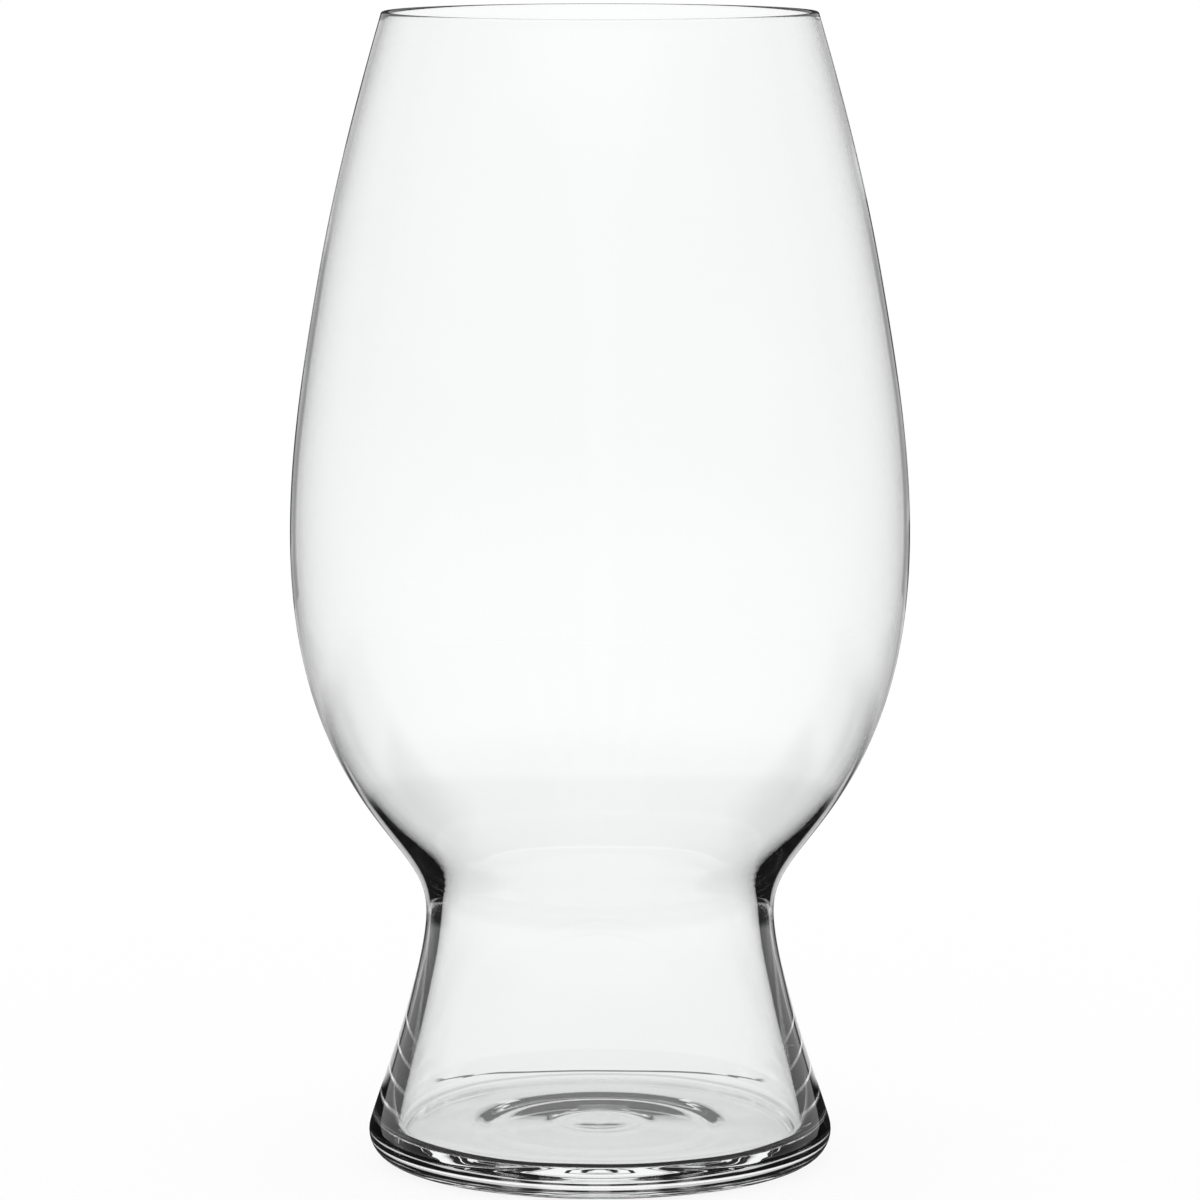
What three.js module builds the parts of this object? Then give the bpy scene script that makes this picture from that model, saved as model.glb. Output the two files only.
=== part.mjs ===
// A wheat beer glass: one blown piece of clear glass, divided into the zones that a glassmaker names.
// Millimetres, +Z up. The axis of the glass is the Z axis and its resting ring lies on Z = 0.
// The zones are turned solids that meet face to face on flat rings.
import * as THREE from 'three';

// Thickness of the glass under the inner floor
const floorThickness = 4.2;

// Height of each station of the outline above the one below it, from the inner floor up
const heelRise = 1.3;
const skirtRise = 18.5;
const waistRise = 16.4;
const flankRise = 12.8;
const cupRise = 16.8;
const bellyRise = 28.6;
const chimneyRise = 41.4;
const rimRise = 40;

// Outer radius at the heel, the waist, the belly and the rim
const heelRadius = 36.3;
const waistRadius = 27.2;
const bellyRadius = 48.4;
const rimRadius = 33.8;

// How much wider than the waist the skirt and the flank are
const skirtSpread = 3.1;
const flankSpread = 7.4;

// How much slimmer than the belly the cup and the chimney are
const cupInset = 4.5;
const chimneyInset = 4.8;

// How far the outer wall leans outwards at each station, in degrees; the waist and the belly stand upright
const heelLean = -17.2;
const skirtLean = -15.1;
const flankLean = 37.8;
const cupLean = 20;
const chimneyLean = -10.1;
const rimLean = -16.4;

// Thickness of the wall, measured level
const bowlWall = 1;
const flankWall = 1.5;
const throatWall = 2.3;
const heelWall = 4.15;

// Places where the wall changes: the throat ends above the waist, and the thin wall begins above the flank
const throatRise = 5.1;
const thinWallRise = 10.8;

// Slimming of the wall for each millimetre up, at the heel and at the flank
const heelTaper = 0.1;
const flankTaper = 0.08;

// Lip of the glass, and the shallow dome under its base
const lipHeight = 4;
const restRingWidth = 11.7;
const domeHeight = 0.75;

// Number of flats around the axis, and of steps along each zone's wall, the lip, the heel and the dome
const sides = 64;
const footSteps = 8;
const waistSteps = 6;
const bowlSteps = 5;
const lipSteps = 6;
const heelSteps = 6;
const domeSteps = 4;

// Heights of the stations above the table
const heelHeight = floorThickness + heelRise;
const skirtHeight = heelHeight + skirtRise;
const waistHeight = skirtHeight + waistRise;
const flankHeight = waistHeight + flankRise;
const cupHeight = flankHeight + cupRise;
const bellyHeight = cupHeight + bellyRise;
const chimneyHeight = bellyHeight + chimneyRise;
const totalHeight = chimneyHeight + rimRise;

const slope = (lean) => Math.tan(THREE.MathUtils.degToRad(lean));

// The outer radius at each station and how fast it grows upwards there
const outerStations = [
  { height: heelHeight, value: heelRadius, growth: slope(heelLean) },
  { height: skirtHeight, value: waistRadius + skirtSpread, growth: slope(skirtLean) },
  { height: waistHeight, value: waistRadius, growth: 0 },
  { height: flankHeight, value: waistRadius + flankSpread, growth: slope(flankLean) },
  { height: cupHeight, value: bellyRadius - cupInset, growth: slope(cupLean) },
  { height: bellyHeight, value: bellyRadius, growth: 0 },
  { height: chimneyHeight, value: bellyRadius - chimneyInset, growth: slope(chimneyLean) },
  { height: totalHeight, value: rimRadius, growth: slope(rimLean) },
];

// The wall's thickness where it changes: thick at the heel, slimmer in the throat, thin in the bowl
const wallStations = [
  { height: heelHeight, value: heelWall, growth: -heelTaper },
  { height: waistHeight, value: throatWall, growth: 0 },
  { height: waistHeight + throatRise, value: throatWall, growth: 0 },
  { height: flankHeight, value: flankWall, growth: -flankTaper },
  { height: flankHeight + thinWallRise, value: bowlWall, growth: 0 },
  { height: totalHeight, value: bowlWall, growth: 0 },
];

// A smooth curve through the stations, with the growth that each one states
function valueAt(stations, height) {
  const last = stations.length - 1;
  let upper = stations.findIndex((station) => station.height >= height);
  upper = THREE.MathUtils.clamp(upper === -1 ? last : upper, 1, last);
  const from = stations[upper - 1];
  const to = stations[upper];
  const span = to.height - from.height;
  const t = (height - from.height) / span;
  const rise = t * t * (3 - 2 * t);
  const startPull = t * (1 - t) * (1 - t) * span * from.growth;
  const endPull = t * t * (t - 1) * span * to.growth;
  return from.value + (to.value - from.value) * rise + startPull + endPull;
}

// The rounding of the heel, from the resting ring up to where it meets the leaning wall
const heelAngle = THREE.MathUtils.degToRad(-heelLean);
const heelRound = heelHeight / (1 + Math.sin(heelAngle));
const heelCentre = new THREE.Vector2(heelRadius - heelRound * Math.cos(heelAngle), heelRound);
const floorAngle = Math.asin((floorThickness - heelRound) / heelRound);

const innerRadius = (height) => valueAt(outerStations, height) - valueAt(wallStations, height);

function outerRadius(height) {
  if (height < heelHeight) {
    const drop = height - heelCentre.y;
    return heelCentre.x + Math.sqrt(heelRound * heelRound - drop * drop);
  }
  return valueAt(outerStations, height);
}

const outerPoint = (height) => new THREE.Vector2(outerRadius(height), height);
const innerPoint = (height) => new THREE.Vector2(innerRadius(height), height);

// Evenly spaced heights from one height to another, both included
function heightsBetween(from, to, steps) {
  return Array.from({ length: steps + 1 }, (unused, step) => THREE.MathUtils.lerp(from, to, step / steps));
}

// The points of an arc around a centre, angles counted from outwards towards up
function arcPoints(centre, radius, fromAngle, toAngle, steps) {
  const arc = new THREE.Path().absarc(centre.x, centre.y, radius, fromAngle, toAngle, toAngle < fromAngle);
  return arc.getPoints(steps);
}

// Turns an outline in the plane of radius and height around the Z axis
function turned(outline) {
  const geometry = new THREE.LatheGeometry(outline, sides);
  geometry.rotateX(Math.PI / 2);
  return geometry;
}

// A ring of wall through the given heights, level at the bottom and at the top
function wallRing(heights) {
  const outside = heights.map(outerPoint);
  const inside = heights.map(innerPoint).reverse();
  return turned([...outside, ...inside, outside[0]]);
}

// The rim: the last stretch of wall with a half-round lip on top
function rimRing() {
  const lipRadius = bowlWall / 2;
  const shoulder = totalHeight - lipRadius;
  const bottom = totalHeight - lipHeight;
  const lipCentre = new THREE.Vector2(outerRadius(shoulder) - lipRadius, shoulder);
  const lip = arcPoints(lipCentre, lipRadius, 0, Math.PI, lipSteps);
  const start = outerPoint(bottom);
  return turned([start, ...lip, innerPoint(bottom), start]);
}

// The base: a dome underneath, the flat ring it rests on, the heel's lower rounding and the flat inner floor
function baseDisc() {
  const domeEdge = heelCentre.x - restRingWidth;
  const domeRadius = (domeEdge * domeEdge + domeHeight * domeHeight) / (2 * domeHeight);
  const domeCentre = new THREE.Vector2(0, domeHeight - domeRadius);
  const domeAngle = Math.asin(domeEdge / domeRadius);
  const dome = arcPoints(domeCentre, domeRadius, Math.PI / 2, Math.PI / 2 - domeAngle, domeSteps);
  const heel = arcPoints(heelCentre, heelRound, -Math.PI / 2, floorAngle, heelSteps);
  dome[0].x = 0;
  return turned([...dome, ...heel, new THREE.Vector2(0, floorThickness)]);
}

const zones = {
  base: baseDisc(),
  foot: wallRing([floorThickness, ...heightsBetween(heelHeight, waistHeight, footSteps)]),
  waist: wallRing(heightsBetween(waistHeight, flankHeight, waistSteps)),
  lower_bowl: wallRing(heightsBetween(flankHeight, cupHeight, bowlSteps)),
  belly: wallRing(heightsBetween(cupHeight, bellyHeight, bowlSteps)),
  shoulder: wallRing(heightsBetween(bellyHeight, chimneyHeight, bowlSteps)),
  upper_bowl: wallRing(heightsBetween(chimneyHeight, totalHeight - lipHeight, bowlSteps)),
  rim: rimRing(),
};

// Clear soda-lime glass, smooth from the mould and the flame
const glassColour = 0xf4f7f6;
const glassRoughness = 0.03;
const glassOpacity = 0.25;

const group = new THREE.Group();
for (const [name, geometry] of Object.entries(zones)) {
  const material = new THREE.MeshStandardMaterial({
    name: `clear_glass_${name}`,
    color: glassColour,
    roughness: glassRoughness,
    metalness: 0,
    transparent: true,
    opacity: glassOpacity,
  });
  const mesh = new THREE.Mesh(geometry, material);
  mesh.name = name;
  group.add(mesh);
}

export default group;
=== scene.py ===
"""A clear wheat beer glass on a white sweep, lit from behind as a glass photographer lights one.

The whole glass is one turned mesh, because the real one is one piece of blown glass. Its outline follows
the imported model's zones. Sizes are in millimetres until the mesh is made, and the scene is in metres.
"""
import math

import bpy
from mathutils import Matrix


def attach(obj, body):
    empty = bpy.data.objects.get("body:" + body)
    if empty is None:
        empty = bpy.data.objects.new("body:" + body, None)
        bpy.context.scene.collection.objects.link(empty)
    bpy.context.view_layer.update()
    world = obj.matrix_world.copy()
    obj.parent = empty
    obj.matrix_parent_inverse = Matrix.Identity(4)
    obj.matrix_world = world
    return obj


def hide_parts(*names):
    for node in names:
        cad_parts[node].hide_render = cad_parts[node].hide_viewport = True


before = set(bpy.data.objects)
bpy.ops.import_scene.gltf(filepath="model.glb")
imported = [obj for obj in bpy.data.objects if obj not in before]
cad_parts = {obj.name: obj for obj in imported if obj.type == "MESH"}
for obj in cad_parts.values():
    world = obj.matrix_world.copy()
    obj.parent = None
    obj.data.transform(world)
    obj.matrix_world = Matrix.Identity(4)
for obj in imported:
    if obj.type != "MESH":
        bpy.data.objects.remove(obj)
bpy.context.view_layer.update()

MM = 0.001

# Stations of the outer wall: height above the table, outer radius, outward lean in degrees
HEEL = (5.5, 36.3, -17.2)
SKIRT = (24.0, 30.3, -15.1)
WAIST = (40.4, 27.2, 0.0)
FLANK = (53.2, 34.6, 37.8)
CUP = (70.0, 43.9, 20.0)
BELLY = (98.6, 48.4, 0.0)
CHIMNEY = (140.0, 43.6, -10.1)
RIM = (180.0, 33.8, -16.4)
OUTER_STATIONS = (HEEL, SKIRT, WAIST, FLANK, CUP, BELLY, CHIMNEY, RIM)
OUTER_GROWTHS = [math.tan(math.radians(station[2])) for station in OUTER_STATIONS]

# Stations of the wall's level thickness: height, thickness, growth for each millimetre up
HEEL_WALL = (HEEL[0], 4.15, -0.1)
THROAT_WALL = (WAIST[0], 2.3, 0.0)
THROAT_END_WALL = (45.5, 2.3, 0.0)
FLANK_WALL = (FLANK[0], 1.5, -0.08)
THIN_WALL = (64.0, 1.0, 0.0)
RIM_WALL = (RIM[0], 1.0, 0.0)
WALL_STATIONS = (HEEL_WALL, THROAT_WALL, THROAT_END_WALL, FLANK_WALL, THIN_WALL, RIM_WALL)
WALL_GROWTHS = [station[2] for station in WALL_STATIONS]

# A blown wall has no sudden change of curve: each radius is the mean over these places above and below it
SOFTENING = (-3.0, -2.0, -1.0, 0.0, 1.0, 2.0, 3.0)

# The base: inner floor with a rounded corner, how far above that the wall's points start, and the shallow
# dome inside the resting ring underneath, by edge radius, height and the power of its curve
INNER_FLOOR = 4.2
FLOOR_CORNER = 1.6
CORNER_CLEARANCE = 0.2
DOME_EDGE = 20.5
DOME_HEIGHT = 1.1
DOME_POWER = 1.6

# The press mark in the middle of the dome: a low knob, and two shallow rings by radius, width and depth
KNOB_RADIUS = 5.8
KNOB_DROP = 0.3
RINGS = ((7.4, 1.6, 0.08), (17.0, 2.0, 0.1))

# Unevenness that blowing leaves at the edge of the inner floor: greatest rise, waves around the axis by
# count, size and shift, how fast it fades towards the middle, and the steps of the corner where it starts
SWAY = 0.12
SWAY_WAVES = ((3, 0.5, 0.4), (5, 0.3, 2.1), (11, 0.2, 1.3))
SWAY_FADE = 4
SWAY_STEPS = 4

# Fineness of the turned mesh and of the round pieces of the stage
SIDES = 208
WALL_STEP = 1.2
ARC_STEPS = 12
DOME_STEPS = 41
REST_RING_STEPS = 6
DISC_STEPS = 24
STAGE_SIDES = 96

# Soda-lime glass, and the faint waves that blowing leaves in its faces: their length and height
GLASS_IOR = 1.52
GLASS_CLEAR = "#FFFFFF"
GLASS_TINT = "#FDFEFE"
WAVE_LENGTH = 22.0
WAVE_HEIGHT = 0.04

# The photograph's camera, fitted to the outline: place, downward pitch in degrees and lens
CAMERA_DISTANCE = 972.3
CAMERA_HEIGHT = 215.8
CAMERA_PITCH = 7.475
CAMERA_LENS = 188.06
CAMERA_SENSOR = 36.0
LIGHT_BOUNCES = 32

# The white sweep: its own glow, and its grey in the studio's white light, add up to white
WHITE = "#FFFFFF"
PAPER_GREY = "#616161"
PAPER_GLOW = 0.88
FLOOR_RADIUS = 600.0
FLOOR_DROP = 0.2

# Lines painted on the sweep that show only through the glass: a ring of painted shade in the narrow space
# under the heel, and a line of painted shade just behind the heel, which is seen only from close by
LINE_SOFTNESS = 0.5
GAP_FROM = 35.5
GAP_TO = 39.5
# painted shade: how much the sweep still glows in the ring under the heel
GAP_SHADE_GLOW = 0.7
# painted shade: a dark line on the sweep just behind the heel, seen only through the glass from close by
SHADE_LINE_FROM = 41.6
SHADE_LINE_TO = 43.6
SHADE_LINE_GLOW = 0.1
SHADE_LINE_SIDE = (36.0, 32.0)
SHADE_LINE_SIGHT = (40.0, 32.0)

# The low dark card around the glass, with an opening at the back given in degrees to either side
CARD_RADIUS = 62.0
CARD_HEIGHT = 42.0
CARD_SOFTNESS = 8.0
CARD_OPENING = (41.0, 47.0)

# What reflections in the glass show of the studio
WHITE_LEVEL = 1.0
FRONT_LEVEL = 0.95
SIDE_LEVEL = 0.65
ROOM_LEVEL = 0.3
EDGE_LEVEL = 0.06
# painted shadow: how dark reflections show the sweep close to the glass
NEAR_SHADOW_LEVEL = 0.05
CEILING_LEVEL = 0.04
CARD_LEVEL = 0.02
DEEP_LEVEL = 0.008

# Limits of the studio's zones, each from just outside to just inside. Turns are degrees from the back to
# either side, rises are degrees above the horizon, and reaches are millimetres from the axis on the sweep.
# The painted light strip's side and front are millimetres too, and it shows in light with at most so many
# reflections.
BESIDE_TURN = (160.0, 60.0)
# painted shadow: how far from the axis reflections show the sweep dark
NEAR_SHADOW_REACH = (150.0, 90.0)
# painted reflection: reflections show the sweep dark here, towards the back to either side
DARK_BESIDE_TURN = (75.0, 60.0)
DARK_BESIDE_REACH = (300.0, 220.0)
BEHIND_TURN = (36.0, 31.0)
BEHIND_REACH = (230.0, 180.0)
FAR_EDGE_TURN = (16.0, 10.0)
FAR_EDGE_REACH = (260.0, 320.0)
FAR_EDGE_RISE = (25.0, 15.0)
WALL_EDGE_TURN = (26.0, 20.0)
WALL_EDGE_REACH = (110.0, 160.0)
WALL_EDGE_RISE = (1.0, -2.0)
# painted light: a strip of the sweep that glows white only in light reflected more than once
STRIP_SIDE = (60.0, 57.0)
STRIP_FRONT = (-60.0, -40.0)
STRIP_REACH = (34.0, 38.0)
STRIP_REFLECTIONS = 9
PANEL_TURN = (12.0, 8.0)
PANEL_RISE = (19.0, 12.0)
ROOM_TURN = (60.0, 80.0)
ROOM_BOTTOM_RISE = (-10.0, 10.0)
ROOM_TOP_RISE = (34.0, 22.0)
BACK_TURN = (75.0, 60.0)
BACK_RISE = (2.0, 8.0)
BACK_CEILING_RISE = (18.0, 24.0)
CEILING_RISE = (42.0, 50.0)

# The row of lamps at the back: how many would go all the way around, the part of each one's wave that is
# lit, and where the row ends and starts
LAMP_COUNT = 12
LAMP_WAVE = (0.0, 0.2)
LAMP_TURN = (75.0, 68.0)
LAMP_RISE = (14.0, 18.0)


def linear(hex_colour):
    """A linear RGBA colour from an sRGB hex value."""
    channels = [int(hex_colour[i:i + 2], 16) / 255 for i in (1, 3, 5)]
    return tuple(c / 12.92 if c <= 0.04045 else ((c + 0.055) / 1.055) ** 2.4 for c in channels) + (1.0,)


def add_node(tree, kind, settings=None, **inputs):
    """Adds a node, sets its properties, and sets or links each named input.

    A leading _ means an input's number, and __ stands for a space in its name.
    """
    node = tree.nodes.new(kind)
    for name, value in (settings or {}).items():
        setattr(node, name, value)
    for name, value in inputs.items():
        key = int(name[1:]) if name.startswith("_") else name.replace("__", " ")
        if isinstance(value, bpy.types.NodeSocket):
            tree.links.new(value, node.inputs[key])
        else:
            node.inputs[key].default_value = value
    return node


def value_at(stations, height, growths):
    """The smooth curve through the stations at a height, with the growth that each station has."""
    upper = next((i for i, station in enumerate(stations) if station[0] >= height), len(stations) - 1)
    upper = max(upper, 1)
    low = stations[upper - 1]
    high = stations[upper]
    span = high[0] - low[0]
    t = (height - low[0]) / span
    rise = t * t * (3 - 2 * t)
    start_pull = t * (1 - t) ** 2 * span * growths[upper - 1]
    end_pull = t * t * (t - 1) * span * growths[upper]
    return low[1] + (high[1] - low[1]) * rise + start_pull + end_pull


def softened(stations, height, growths):
    """The curve through the stations with its changes of curve spread over a few millimetres."""
    return sum(value_at(stations, height + shift, growths) for shift in SOFTENING) / len(SOFTENING)


def outer_radius(height):
    return softened(OUTER_STATIONS, height, OUTER_GROWTHS)


def inner_radius(height):
    return outer_radius(height) - softened(WALL_STATIONS, height, WALL_GROWTHS)


def arc(centre, radius, start, end, steps):
    """Points on an arc in the plane of radius and height, angles in radians from outwards towards up."""
    turns = [start + (end - start) * step / steps for step in range(steps + 1)]
    return [(centre[0] + radius * math.cos(a), centre[1] + radius * math.sin(a)) for a in turns]


def swell(distance, width):
    """A smooth swelling that is 1 in the middle and 0 from its width on."""
    return max(0.0, 1 - (distance / width) ** 2) ** 2


def dome_height(radius):
    """Height of the hollow under the base, with the knob and the rings of the press mark."""
    dome = DOME_HEIGHT * (1 - (radius / DOME_EDGE) ** DOME_POWER)
    rings = sum(depth * swell(radius - middle, width) for middle, width, depth in RINGS)
    return dome + rings - KNOB_DROP * swell(radius, KNOB_RADIUS)


def glass_outline():
    """The outline of the glass, from the middle of the dome out, up the outside and down the inside.

    Each point has its radius, its height and the share of the floor's unevenness that it takes.
    """
    heel_angle = math.radians(-HEEL[2])
    heel_round = HEEL[0] / (1 + math.sin(heel_angle))
    heel_centre = (outer_radius(HEEL[0]) - heel_round * math.cos(heel_angle), heel_round)
    dome_radii = [DOME_EDGE * step / DOME_STEPS for step in range(DOME_STEPS + 1)]
    dome = [(r, dome_height(r)) for r in dome_radii]
    ring_width = heel_centre[0] - DOME_EDGE
    ring = [(DOME_EDGE + ring_width * step / REST_RING_STEPS, 0.0) for step in range(1, REST_RING_STEPS)]
    heel = arc(heel_centre, heel_round, -math.pi / 2, heel_angle, ARC_STEPS)

    lip_radius = RIM_WALL[1] / 2
    shoulder = RIM[0] - lip_radius
    lip_centre = (outer_radius(shoulder) - lip_radius, shoulder)
    lip = arc(lip_centre, lip_radius, 0.0, math.pi, ARC_STEPS)
    steps = round((shoulder - HEEL[0]) / WALL_STEP)
    heights = [HEEL[0] + (shoulder - HEEL[0]) * step / steps for step in range(1, steps)]
    outside = [(outer_radius(h), h) for h in heights]

    corner_height = INNER_FLOOR + FLOOR_CORNER
    inside = [(inner_radius(h), h) for h in reversed(heights) if h > corner_height + CORNER_CLEARANCE]
    corner_centre = (inner_radius(corner_height) - FLOOR_CORNER, corner_height)
    corner = arc(corner_centre, FLOOR_CORNER, 0.0, -math.pi / 2, ARC_STEPS)
    disc_shares = [1 - step / DISC_STEPS for step in range(1, DISC_STEPS + 1)]
    disc = [(corner_centre[0] * share, INNER_FLOOR, share ** SWAY_FADE) for share in disc_shares]
    still = [point + (0.0,) for point in dome + ring + heel + outside + lip + inside]
    swaying = [point + (min(1.0, step / SWAY_STEPS),) for step, point in enumerate(corner)]
    return still + swaying + disc


def floor_sway(angle):
    """Rise of the uneven edge of the inner floor at an angle around the axis."""
    return SWAY * sum(size * math.sin(count * angle + shift) for count, size, shift in SWAY_WAVES)


def turned_mesh(name, outline):
    """A closed mesh turned from an outline that starts and ends on the axis."""
    turns = [2 * math.pi * side / SIDES for side in range(SIDES)]
    rises = [floor_sway(angle) for angle in turns]
    vertices = [(0.0, 0.0, outline[0][1] * MM)]
    for radius, height, share in outline[1:-1]:
        for angle, rise in zip(turns, rises):
            up = height + share * rise
            vertices.append((radius * math.cos(angle) * MM, radius * math.sin(angle) * MM, up * MM))
    vertices.append((0.0, 0.0, outline[-1][1] * MM))
    last = len(vertices) - 1
    rings = len(outline) - 2
    faces = []
    for side in range(SIDES):
        after = (side + 1) % SIDES
        faces.append((0, 1 + after, 1 + side))
        for ring in range(rings - 1):
            low = 1 + ring * SIDES
            high = low + SIDES
            faces.append((low + side, low + after, high + after, high + side))
        top = 1 + (rings - 1) * SIDES
        faces.append((top + side, top + after, last))
    mesh = bpy.data.meshes.new(name)
    mesh.from_pydata(vertices, [], faces)
    mesh.update()
    mesh.shade_smooth()
    piece = bpy.data.objects.new(name, mesh)
    bpy.context.scene.collection.objects.link(piece)
    return piece


def blown_soda_lime_glass():
    """Clear blown glass: mirror smooth, all but colourless, with faint long waves from the blowing."""
    material = bpy.data.materials.new("blown_soda_lime_glass")
    material.use_nodes = True
    tree = material.node_tree
    place = add_node(tree, "ShaderNodeTexCoord").outputs["Object"]
    waves = add_node(tree, "ShaderNodeTexNoise", Vector=place, Scale=1 / (WAVE_LENGTH * MM), Detail=1.0)
    bump = add_node(
        tree, "ShaderNodeBump", Strength=1.0, Distance=WAVE_HEIGHT * MM, Height=waves.outputs[0]
    )
    tint = add_node(
        tree, "ShaderNodeMix", {"data_type": "RGBA"},
        _0=waves.outputs[0], _6=linear(GLASS_CLEAR), _7=linear(GLASS_TINT),
    )
    shader = tree.nodes["Principled BSDF"]
    tree.links.new(tint.outputs[2], shader.inputs["Base Color"])
    tree.links.new(bump.outputs[0], shader.inputs["Normal"])
    shader.inputs["Roughness"].default_value = 0.0
    shader.inputs["IOR"].default_value = GLASS_IOR
    shader.inputs["Transmission Weight"].default_value = 1.0
    return material


def over(count):
    """Limits that let in whole numbers above a count."""
    return count + 0.4, count + 0.6


def up_to(count):
    """Limits that let in whole numbers up to a count."""
    return count + 0.6, count + 0.4


def zone(tree, *limits):
    """1 inside soft limits and 0 outside.

    Each limit has a value, where that value is just outside and where it is just inside.
    """
    mask = None
    for value, outside, inside in limits:
        edge = add_node(
            tree, "ShaderNodeMapRange", {"interpolation_type": "SMOOTHSTEP"},
            Value=value, From__Min=outside, From__Max=inside,
        ).outputs[0]
        if mask is None:
            mask = edge
        else:
            mask = add_node(tree, "ShaderNodeMath", {"operation": "MULTIPLY"}, _0=mask, _1=edge).outputs[0]
    return mask


def layered(tree, level, *layers):
    """A level with other levels laid over it where their masks are 1."""
    for mask, above in layers:
        mix = add_node(tree, "ShaderNodeMix", {"data_type": "FLOAT"}, _0=mask, _2=level, _3=above)
        level = mix.outputs[0]
    return level


def turn_from_back(tree, place):
    """Degrees that a place or a direction is turned from the back of the studio, to either side."""
    parts = add_node(tree, "ShaderNodeSeparateXYZ", Vector=place)
    side = add_node(tree, "ShaderNodeMath", {"operation": "ABSOLUTE"}, _0=parts.outputs["X"]).outputs[0]
    turn = add_node(tree, "ShaderNodeMath", {"operation": "ARCTAN2"}, _0=side, _1=parts.outputs["Y"])
    return add_node(tree, "ShaderNodeMath", {"operation": "DEGREES"}, _0=turn.outputs[0]).outputs[0]


def by_path(tree, straight, outer, once, late, deep):
    """The level that light meets, by its way through the glass.

    Straight light was only bent by the glass. Outer light was reflected off the face towards the camera,
    once light inside that wall, late light at the far wall or the base, and deep light more than once.
    """
    path = add_node(tree, "ShaderNodeLightPath")
    turns = path.outputs["Glossy Depth"]
    passes = path.outputs["Transmission Depth"]
    return layered(
        tree, once,
        (zone(tree, (passes, *over(3))), late),
        (zone(tree, (turns, *over(1))), deep),
        (zone(tree, (passes, *up_to(0))), outer),
        (zone(tree, (turns, *up_to(0))), straight),
    )


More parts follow.
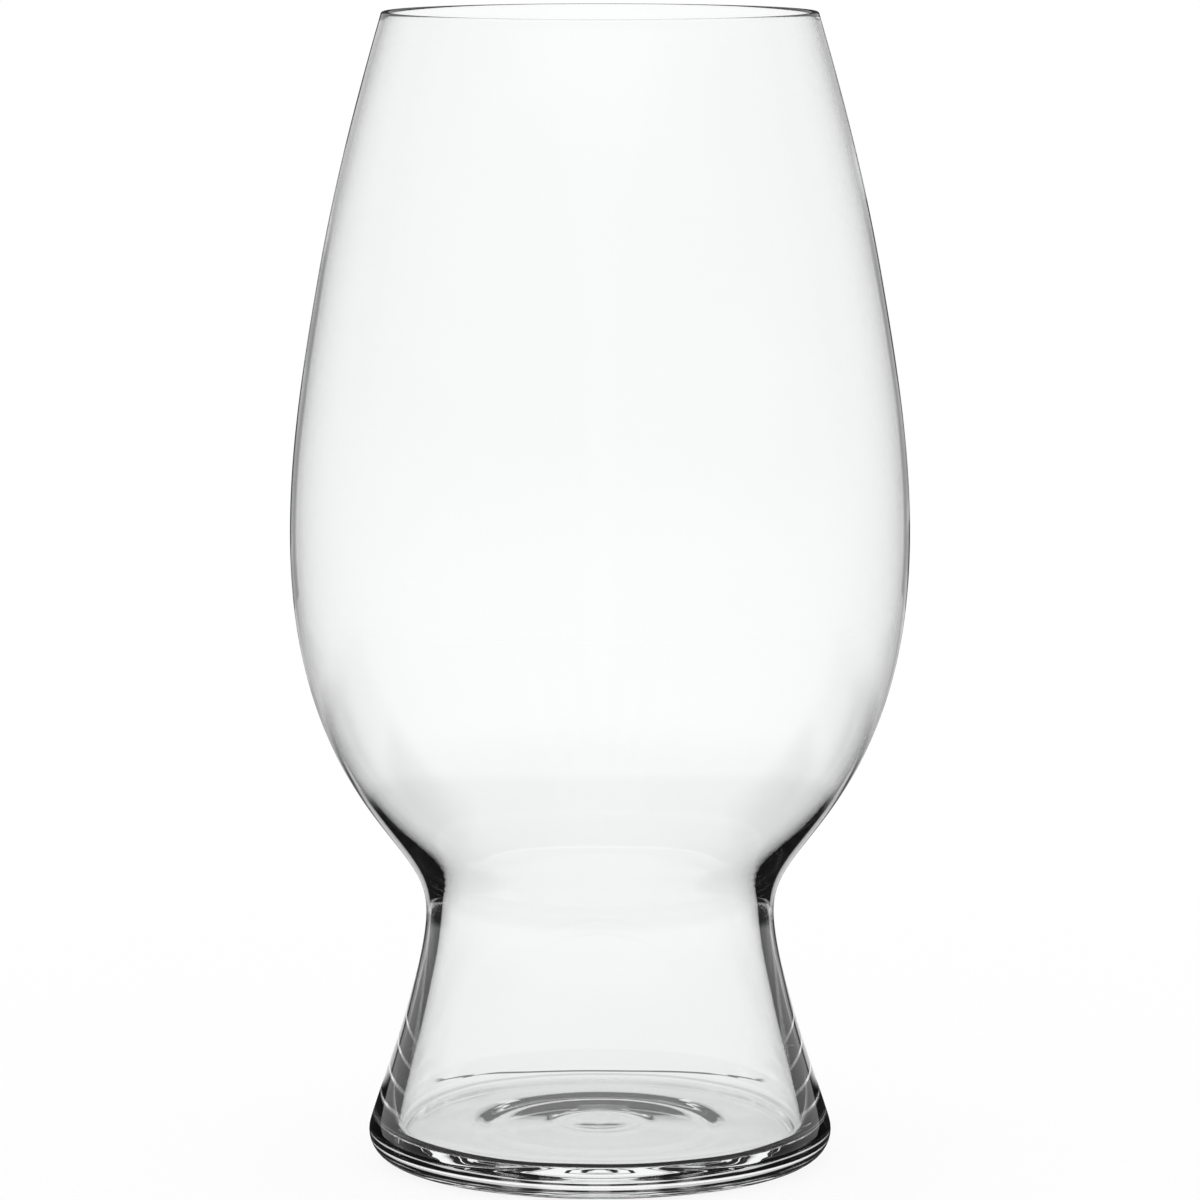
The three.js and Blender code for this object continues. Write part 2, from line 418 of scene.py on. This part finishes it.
def white_sweep_material():
    """Matt white paper: white to the eye and through the glass, with the glass's soft shadow kept.

    Reflections show painted levels on it by zones: a painted shadow close to the glass, painted shade
    inside the card, dark towards the back to either side, a strip of painted light, white behind, grey
    beside and bright in front.
    Through the glass it also shows a painted ring and line of shade at the heel.
    """
    material = bpy.data.materials.new("white_paper_with_painted_shade_and_light")
    material.use_nodes = True
    tree = material.node_tree
    tree.nodes.remove(tree.nodes["Principled BSDF"])
    path = add_node(tree, "ShaderNodeLightPath")
    turns = path.outputs["Glossy Depth"]
    place = add_node(tree, "ShaderNodeNewGeometry").outputs["Position"]
    scaled = add_node(tree, "ShaderNodeVectorMath", {"operation": "SCALE"}, _0=place, Scale=1 / MM)
    spot = scaled.outputs[0]
    reach = add_node(tree, "ShaderNodeVectorMath", {"operation": "LENGTH"}, _0=spot).outputs["Value"]
    parts = add_node(tree, "ShaderNodeSeparateXYZ", Vector=spot)
    back = parts.outputs["Y"]
    side = add_node(tree, "ShaderNodeMath", {"operation": "ABSOLUTE"}, _0=parts.outputs["X"]).outputs[0]
    turn = turn_from_back(tree, place)

    through = (path.outputs["Transmission Depth"], *over(0))
    # painted shade: a ring of lower glow under the heel, seen only through the glass
    painted_gap_shade = zone(
        tree, through,
        (reach, GAP_FROM - LINE_SOFTNESS, GAP_FROM + LINE_SOFTNESS),
        (reach, GAP_TO + LINE_SOFTNESS, GAP_TO - LINE_SOFTNESS),
    )
    # painted shade: the line just behind the heel, shown only through the glass and from close by
    painted_shade_line = zone(
        tree, through,
        (side, *SHADE_LINE_SIDE),
        (path.outputs["Ray Length"], *(distance * MM for distance in SHADE_LINE_SIGHT)),
        (back, SHADE_LINE_FROM - LINE_SOFTNESS, SHADE_LINE_FROM + LINE_SOFTNESS),
        (back, SHADE_LINE_TO + LINE_SOFTNESS, SHADE_LINE_TO - LINE_SOFTNESS),
    )
    diffuse = add_node(tree, "ShaderNodeBsdfDiffuse", Color=linear(PAPER_GREY))
    # the sweep's glow is lowered where the painted shade of the ring and the line lies
    strength = layered(tree, PAPER_GLOW, (painted_gap_shade, GAP_SHADE_GLOW), (painted_shade_line, SHADE_LINE_GLOW))
    glow = add_node(tree, "ShaderNodeEmission", Color=linear(WHITE), Strength=strength)
    paper = add_node(tree, "ShaderNodeAddShader", _0=diffuse.outputs[0], _1=glow.outputs[0])

    beside = zone(tree, (turn, *BESIDE_TURN))
    # painted reflection: the sweep shows dark towards the back to either side, in reflections only
    dark_beside = zone(tree, (turn, *DARK_BESIDE_TURN), (reach, *DARK_BESIDE_REACH))
    # painted shade: light reflected inside the wall shows the sweep dark inside the card's ring
    inside_card_shade = zone(tree, (reach, CARD_RADIUS + CARD_SOFTNESS, CARD_RADIUS - CARD_SOFTNESS))
    far_edge = zone(tree, (turn, *FAR_EDGE_TURN), (reach, *FAR_EDGE_REACH))
    behind = zone(tree, (turn, *BEHIND_TURN), (reach, *BEHIND_REACH))
    # painted shadow: reflections show the sweep dark close to the glass
    painted_near_shadow = zone(tree, (reach, *NEAR_SHADOW_REACH))
    wall_edge = zone(tree, (turn, *WALL_EDGE_TURN), (reach, *WALL_EDGE_REACH))
    # painted light: the strip glows white in light reflected more than once inside the glass
    strip = zone(
        tree, (side, *STRIP_SIDE), (back, *STRIP_FRONT), (reach, *STRIP_REACH),
        (turns, *up_to(STRIP_REFLECTIONS)),
    )
    outer = layered(
        tree, FRONT_LEVEL, (beside, SIDE_LEVEL), (painted_near_shadow, NEAR_SHADOW_LEVEL), (dark_beside, CARD_LEVEL),
        (far_edge, EDGE_LEVEL), (behind, WHITE_LEVEL),
    )
    once = layered(
        tree, FRONT_LEVEL, (beside, SIDE_LEVEL), (inside_card_shade, CARD_LEVEL), (wall_edge, EDGE_LEVEL)
    )
    deep = layered(tree, DEEP_LEVEL, (strip, WHITE_LEVEL))
    level = by_path(tree, WHITE_LEVEL, outer, once, FRONT_LEVEL, deep)
    studio = add_node(tree, "ShaderNodeEmission", Color=linear(WHITE), Strength=level)
    reflected = zone(tree, (turns, *over(0)))
    seen = add_node(tree, "ShaderNodeMixShader", _0=reflected, _1=paper.outputs[0], _2=studio.outputs[0])
    tree.links.new(seen.outputs[0], tree.nodes["Material Output"].inputs["Surface"])
    return material


def studio_world():
    """White to the camera and through the glass.

    Reflections show a white panel behind the glass, grey sides, a dim room in front, a dark ceiling and a
    row of lamps.
    """
    world = bpy.data.worlds.new("glass_studio")
    bpy.context.scene.world = world
    world.use_nodes = True
    tree = world.node_tree
    tree.nodes.clear()
    direction = add_node(tree, "ShaderNodeTexCoord").outputs["Generated"]
    turn = turn_from_back(tree, direction)
    height = add_node(tree, "ShaderNodeSeparateXYZ", Vector=direction).outputs["Z"]
    angle = add_node(tree, "ShaderNodeMath", {"operation": "ARCSINE"}, _0=height)
    rise = add_node(tree, "ShaderNodeMath", {"operation": "DEGREES"}, _0=angle.outputs[0]).outputs[0]
    swing = add_node(
        tree, "ShaderNodeMath", {"operation": "MULTIPLY"}, _0=turn, _1=math.radians(LAMP_COUNT)
    )
    wave = add_node(tree, "ShaderNodeMath", {"operation": "COSINE"}, _0=swing.outputs[0]).outputs[0]

    panel = zone(tree, (turn, *PANEL_TURN), (rise, *PANEL_RISE))
    beside = zone(tree, (turn, *BESIDE_TURN))
    far_edge = zone(tree, (turn, *FAR_EDGE_TURN), (rise, *FAR_EDGE_RISE))
    wall_edge = zone(tree, (turn, *WALL_EDGE_TURN), (rise, *WALL_EDGE_RISE))
    room = zone(tree, (rise, *ROOM_BOTTOM_RISE), (rise, *ROOM_TOP_RISE), (turn, *ROOM_TURN))
    lamps = zone(tree, (wave, *LAMP_WAVE), (turn, *LAMP_TURN), (rise, *LAMP_RISE))
    ceiling = zone(tree, (rise, *CEILING_RISE))
    back = zone(tree, (rise, *BACK_RISE), (turn, *BACK_TURN))
    back_ceiling = zone(tree, (rise, *BACK_CEILING_RISE), (turn, *BACK_TURN))
    outer = layered(
        tree, FRONT_LEVEL, (beside, SIDE_LEVEL), (room, ROOM_LEVEL), (far_edge, EDGE_LEVEL)
    )
    once = layered(tree, FRONT_LEVEL, (beside, SIDE_LEVEL), (panel, WHITE_LEVEL), (wall_edge, EDGE_LEVEL))
    late = layered(tree, FRONT_LEVEL, (back, SIDE_LEVEL), (back_ceiling, CEILING_LEVEL))
    deep = layered(
        tree, DEEP_LEVEL, (lamps, WHITE_LEVEL), (panel, WHITE_LEVEL), (ceiling, CEILING_LEVEL)
    )
    level = by_path(tree, WHITE_LEVEL, outer, once, late, deep)
    glow = add_node(tree, "ShaderNodeBackground", Color=linear(WHITE), Strength=level)
    output = add_node(tree, "ShaderNodeOutputWorld")
    tree.links.new(glow.outputs[0], output.inputs["Surface"])


def black_card_material():
    """Matt black card, which shows only in light that was reflected once inside the wall."""
    material = bpy.data.materials.new("matt_black_card")
    material.use_nodes = True
    tree = material.node_tree
    tree.nodes.remove(tree.nodes["Principled BSDF"])
    path = add_node(tree, "ShaderNodeLightPath")
    turns = path.outputs["Glossy Depth"]
    passes = path.outputs["Transmission Depth"]
    place = add_node(tree, "ShaderNodeNewGeometry").outputs["Position"]
    height = add_node(tree, "ShaderNodeSeparateXYZ", Vector=place).outputs["Z"]
    shown = zone(
        tree, (turns, *over(0)), (turns, *up_to(1)), (passes, *over(0)), (passes, *up_to(3)),
        (turn_from_back(tree, place), *CARD_OPENING),
        (height, CARD_HEIGHT * MM, (CARD_HEIGHT - CARD_SOFTNESS) * MM),
    )
    clear = add_node(tree, "ShaderNodeBsdfTransparent")
    card = add_node(tree, "ShaderNodeEmission", Color=linear(WHITE), Strength=CARD_LEVEL)
    seen = add_node(tree, "ShaderNodeMixShader", _0=shown, _1=clear.outputs[0], _2=card.outputs[0])
    tree.links.new(seen.outputs[0], tree.nodes["Material Output"].inputs["Surface"])
    return material


def circle(radius, height):
    """Points on a level circle of the stage, in metres."""
    reach = radius * MM
    turns = [2 * math.pi * side / STAGE_SIDES for side in range(STAGE_SIDES)]
    return [(reach * math.cos(a), reach * math.sin(a), height * MM) for a in turns]


def black_card():
    """A low card that stands around the glass on the sweep."""
    vertices = circle(CARD_RADIUS, 0.0) + circle(CARD_RADIUS, CARD_HEIGHT)
    faces = []
    for side in range(STAGE_SIDES):
        after = (side + 1) % STAGE_SIDES
        faces.append((side, after, STAGE_SIDES + after, STAGE_SIDES + side))
    mesh = bpy.data.meshes.new("black_card")
    mesh.from_pydata(vertices, [], faces)
    card = bpy.data.objects.new("black_card", mesh)
    bpy.context.scene.collection.objects.link(card)
    card.data.materials.append(black_card_material())


def white_sweep():
    """A round white table top under the glass."""
    mesh = bpy.data.meshes.new("white_sweep")
    mesh.from_pydata(circle(FLOOR_RADIUS, 0.0), [], [tuple(range(STAGE_SIDES))])
    sweep = bpy.data.objects.new("white_sweep", mesh)
    bpy.context.scene.collection.objects.link(sweep)
    sweep.data.materials.append(white_sweep_material())
    sweep.location.z = -FLOOR_DROP * MM


def photo_camera():
    data = bpy.data.cameras.new("photo_camera")
    data.lens = CAMERA_LENS
    data.sensor_width = CAMERA_SENSOR
    camera = bpy.data.objects.new("photo_camera", data)
    camera.location = (0.0, -CAMERA_DISTANCE * MM, CAMERA_HEIGHT * MM)
    camera.rotation_euler = (math.radians(90 - CAMERA_PITCH), 0.0, 0.0)
    bpy.context.scene.collection.objects.link(camera)
    bpy.context.scene.camera = camera


scene = bpy.context.scene
scene.view_settings.view_transform = "Standard"
scene.cycles.max_bounces = LIGHT_BOUNCES
scene.cycles.transmission_bounces = LIGHT_BOUNCES
scene.cycles.glossy_bounces = LIGHT_BOUNCES

photo_camera()
studio_world()
white_sweep()
black_card()

glass = turned_mesh("wheat_beer_glass", glass_outline())
glass.data.materials.append(blown_soda_lime_glass())
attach(glass, "root")
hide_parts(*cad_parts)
